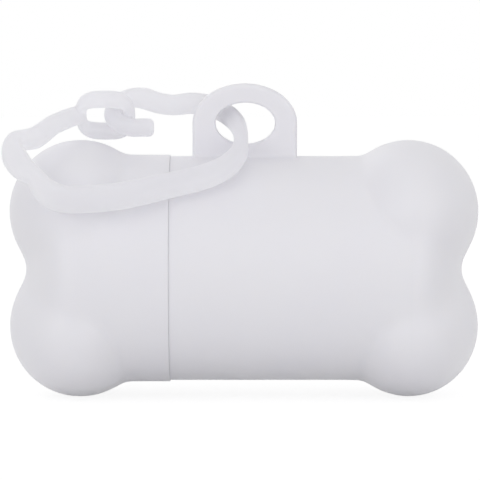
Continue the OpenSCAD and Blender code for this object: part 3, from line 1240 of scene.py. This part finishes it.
        place = held["middle"]
        for wave_kind, reach in (("COSINE", "across"), ("SINE", "through")):
            wave = add_node(tree, MATHS, {0: held["turn"]}, operation=wave_kind)
            sign = add_node(tree, MATHS, {0: wave}, operation="SIGN")
            size = add_node(tree, MATHS, {0: wave}, operation="ABSOLUTE")
            bulge = add_node(tree, MATHS, {0: size, 1: held["corner"]}, operation="POWER")
            share = add_node(tree, MATHS, {0: sign, 1: bulge}, operation="MULTIPLY")
            part = add_node(tree, VECTORS, {0: held[reach], "Scale": share}, operation="SCALE")
            place = add_node(tree, VECTORS, {0: place, 1: part}, operation="ADD")
        placed = add_node(tree, "GeometryNodeSetPosition", {"Geometry": swept, "Position": place})
        close_tree(tree, placed, given["Finish"])
        return tree

    def build(self) -> None:
        """Builds the strap and its ring as one moulding, and dresses it."""
        piece = self.path()
        sizes = {"Steps": self.steps, "Sides": self.sides, "Finish": STRAP.material()}
        grow(piece, self.sweep_tree(), sizes)
        remesh = piece.modifiers.new("one_moulding", "REMESH")
        remesh.mode = "VOXEL"
        remesh.voxel_size = self.voxel * MM
        smooth = piece.modifiers.new("eased_joins", "SMOOTH")
        smooth.factor = self.ease
        smooth.iterations = self.smoothings
        settle(piece)
        piece.data.shade_smooth()
        dress(piece, STRAP, Carrier.STRAP, "hook_strap")


# ---- Roll of bags ----


@dataclass
class BagRoll:
    """Folded film bags wound on a paper tube, seen as layers at both ends."""

    roll_r: float = 14.5
    half_len: float = 30.0
    drop: float = 1.2
    layers: int = 17
    layer_share: float = 0.8
    steps_round: int = 96
    stagger: float = 0.55
    patch: float = 4.0
    patch_detail: float = 2.0
    seed: float = 4.0
    core_r: float = 6.5
    core_wall: float = 1.0
    core_half_len: float = 30.5
    core_edge: float = 0.25
    core_clear: float = 0.02

    def layers_tree(self) -> NodeTree:
        """Builds the tree that winds a folded strip of film into a roll.

        Returns:
            The geometry tree, with its named inputs.
        """
        tree, given = open_tree("wound_film", {
            "Turns": "Float", "Steps": "Int", "Inner Radius": "Float",
            "Outer Radius": "Float", "Strip Thickness": "Float", "Length": "Float",
            "Stagger": "Float", "Axis Place": "Vector", "Seed": "Float", "Finish": "Material",
        })
        spiral = add_node(tree, "GeometryNodeCurveSpiral", {
            "Resolution": given["Steps"], "Rotations": given["Turns"], "Height": 0.0,
            "Start Radius": given["Inner Radius"], "End Radius": given["Outer Radius"],
        })
        upright = add_node(tree, "GeometryNodeSetCurveNormal", {"Curve": spiral}, mode="Z_UP")
        strip = add_node(
            tree, "GeometryNodeCurvePrimitiveQuadrilateral",
            {"Width": given["Strip Thickness"], "Height": given["Length"]}, mode="RECTANGLE",
        )
        wound = add_node(
            tree, "GeometryNodeCurveToMesh",
            {"Curve": upright, "Profile Curve": strip, "Fill Caps": True},
        )
        place = add_node(tree, "GeometryNodeInputPosition")
        height = add_node(tree, "ShaderNodeSeparateXYZ", {0: place}).outputs["Z"]
        patches = {
            "Vector": place, "W": given["Seed"], "Scale": 1 / (self.patch * MM),
            "Detail": self.patch_detail,
        }
        patch = add_node(tree, "ShaderNodeTexNoise", patches, noise_dimensions="4D")
        drawn_in = add_node(tree, MATHS, {0: patch, 1: given["Stagger"]}, operation="MULTIPLY")
        end = add_node(tree, MATHS, {0: height}, operation="SIGN")
        shift = add_node(tree, MATHS, {0: drawn_in, 1: end}, operation="MULTIPLY")
        back = add_node(tree, MATHS, {0: shift, 1: -1.0}, operation="MULTIPLY")
        offset = add_node(tree, "ShaderNodeCombineXYZ", {"Z": back})
        uneven = add_node(tree, "GeometryNodeSetPosition", {"Geometry": wound, "Offset": offset})
        laid = add_node(tree, "GeometryNodeTransform", {
            "Geometry": uneven, "Translation": given["Axis Place"],
            "Rotation": (0.0, math.pi / 2, 0.0),
        })
        close_tree(tree, laid, given["Finish"])
        return tree

    def film(self) -> Object:
        """Builds the wound film.

        Returns:
            The roll.
        """
        piece = make_piece("wound_bags", np.zeros((1, 3)), [])
        pitch = (self.roll_r - self.core_r - self.core_clear) / (self.layers + 0.5)
        strip = pitch * self.layer_share
        sizes = {
            "Turns": float(self.layers),
            "Steps": self.steps_round,
            "Inner Radius": (self.core_r + self.core_clear + strip / 2) * MM,
            "Outer Radius": (self.roll_r - strip / 2) * MM,
            "Strip Thickness": strip * MM,
            "Length": 2 * self.half_len * MM,
            "Stagger": self.stagger * MM,
            "Axis Place": (BONE_MIDDLE - np.array([0.0, 0.0, self.drop * MM])).tolist(),
            "Seed": self.seed,
            "Finish": FILM.material(),
        }
        grow(piece, self.layers_tree(), sizes)
        smooth_shade(piece)
        return piece

    def core(self) -> Object:
        """Builds the paper tube, with softly crushed edges.

        Returns:
            The tube.
        """
        inner = self.core_r - self.core_wall
        corners = [
            (inner, -self.core_half_len), (self.core_r, -self.core_half_len),
            (self.core_r, self.core_half_len), (inner, self.core_half_len),
        ]
        profile = rounded(corners, self.core_edge)
        return turned("paper_tube", profile, self.steps_round, self.drop)

    def build(self) -> None:
        """Builds and dresses the roll and its tube."""
        dress(self.film(), FILM, Carrier.ROLL, "bag_roll")
        dress(self.core(), BOARD, Carrier.ROLL, "roll_core")


# ---- Studio ----


@dataclass(frozen=True)
class Lamp:
    """A square soft light that looks at the bone's middle."""

    name: str
    azimuth: float
    elevation: float
    size: float
    power: float
    distance: float = 700.0


@dataclass
class Studio:
    """White floor, soft light and the camera of the photograph."""

    camera_distance: float = 600.0
    camera_elevation: float = 4.0
    image_px: float = 480.0
    px_per_mm: float = 5.595
    barrel_middle_px: tuple = (243.1, 268.0)
    sensor_mm: float = 36.0
    nearest: float = 10.0
    farthest: float = 10000.0
    floor_half: float = 1500.0
    floor_paper: str = "#F6F6F6"
    floor_glow: float = 0.8
    floor_white: float = 1.108
    daylight: float = 0.63
    lamps: tuple = (
        Lamp("left_softbox", -40.0, 8.0, 500.0, 0.8),
        Lamp("right_softbox", 38.0, 12.0, 400.0, 0.5),
        Lamp("upper_softbox", 0.0, 35.0, 500.0, 0.38),
        Lamp("top_softbox", 0.0, 88.0, 500.0, 0.25),
        Lamp("rear_softbox", -150.0, 35.0, 500.0, 0.42),
    )

    @staticmethod
    def aim(thing: Object, target: np.ndarray, azimuth: float, elevation: float, distance: float) -> None:
        """Puts a camera or lamp round a target and turns it to look there.

        Args:
            thing: The camera or lamp.
            target: What it looks at, in millimetres from the bone's middle.
            azimuth: Which side it is on, in degrees from the front.
            elevation: How high it is, in degrees.
            distance: How far it is, in millimetres.
        """
        a, e = math.radians(azimuth), math.radians(elevation)
        way = np.array([math.sin(a) * math.cos(e), -math.cos(a) * math.cos(e), math.sin(e)])
        thing.location = (BONE_MIDDLE + (target + way * distance) * MM).tolist()
        thing.rotation_euler = Vector((-way).tolist()).to_track_quat("-Z", "Y").to_euler()

    def camera(self) -> None:
        """Makes the camera at the photograph's viewing angle and framing."""
        data = bpy.data.cameras.new("product_camera")
        data.sensor_width = self.sensor_mm
        data.lens = self.sensor_mm * self.camera_distance / (self.image_px / self.px_per_mm)
        data.clip_start = self.nearest * MM
        data.clip_end = self.farthest * MM
        camera = show("product_camera", data)
        centre = self.image_px / 2
        right = (centre - self.barrel_middle_px[0]) / self.px_per_mm
        up = (self.barrel_middle_px[1] - centre) / self.px_per_mm
        target = np.array([right, 0.0, up])
        self.aim(camera, target, 0.0, self.camera_elevation, self.camera_distance)
        bpy.context.scene.camera = camera

    def light(self) -> None:
        """Makes the soft lamps and an even white world."""
        for lamp in self.lamps:
            data = bpy.data.lights.new(lamp.name, "AREA")
            data.shape = "SQUARE"
            data.size = lamp.size * MM
            data.energy = lamp.power
            light = show(lamp.name, data)
            self.aim(light, np.zeros(3), lamp.azimuth, lamp.elevation, lamp.distance)
        world = bpy.data.worlds.new("white_room")
        tree = empty_tree(world)
        even, white = [
            add_node(tree, "ShaderNodeBackground", {"Color": srgb(WHITE), "Strength": power})
            for power in (self.daylight, 1.0)
        ]
        shown = self.whitened(tree, even, white, 1.0)
        add_node(tree, "ShaderNodeOutputWorld", {"Surface": shown})
        bpy.context.scene.world = world

    @staticmethod
    def whitened(tree: NodeTree, real: Node, white: Node, share: float) -> Node:
        """Shows white to the eye, and the real surface to the light on the object.

        Args:
            tree: The tree of the world or of a material.
            real: The shader that lights the object.
            white: The shader that is seen directly, mirrored or through the object.
            share: How much of the white shader is seen there.

        Returns:
            The mixed shader.
        """
        path = add_node(tree, "ShaderNodeLightPath").outputs
        seen = path["Is Camera Ray"]
        for ray in ("Is Glossy Ray", "Is Transmission Ray"):
            seen = add_node(tree, MATHS, {0: seen, 1: path[ray]}, operation="MAXIMUM")
        part = add_node(tree, MATHS, {0: seen, 1: share}, operation="MULTIPLY")
        return add_node(tree, "ShaderNodeMixShader", {0: part, 1: real, 2: white})

    def floor(self, height: float) -> None:
        """Makes the white floor that the object stands on.

        Args:
            height: Height of the floor, in metres.
        """
        level = (height - BONE_MIDDLE[2]) / MM
        signs = ((-1, -1), (1, -1), (1, 1), (-1, 1))
        corners = [(x * self.floor_half, y * self.floor_half, level) for x, y in signs]
        floor = make_piece("studio_floor", np.array(corners), [[0, 1, 2, 3]])
        material = bpy.data.materials.new("matt_white_paper")
        tree = empty_tree(material)
        paper = add_node(tree, "ShaderNodeBsdfDiffuse", {"Color": srgb(self.floor_paper)})
        glow = {"Color": srgb(WHITE), "Strength": self.floor_white}
        white = add_node(tree, "ShaderNodeEmission", glow)
        shown = self.whitened(tree, paper, white, self.floor_glow)
        add_node(tree, "ShaderNodeOutputMaterial", {"Surface": shown})
        floor.data.materials.append(material)
        floor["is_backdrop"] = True

    def build(self, floor_height: float) -> None:
        """Builds the camera, the light and the floor.

        Args:
            floor_height: Height of the floor, in metres.
        """
        self.camera()
        self.light()
        self.floor(floor_height)
        bpy.context.scene.view_settings.view_transform = "Standard"


def box_of_all() -> list[list[float]]:
    """Lowest and highest corner of the shown object, as plain lists."""
    return [[float(value) for value in corner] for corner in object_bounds()]


def main() -> None:
    """Builds every sub-assembly and the studio."""
    logging.basicConfig(level=logging.INFO, format="%(name)s: %(message)s")
    packed_box = box_of_all()
    BoneBody().build()
    EndCap().build()
    PushFit().build()
    HookStrap().build()
    BagRoll().build()
    Studio().build(packed_box[0][2])


if __name__ == "__main__":
    main()
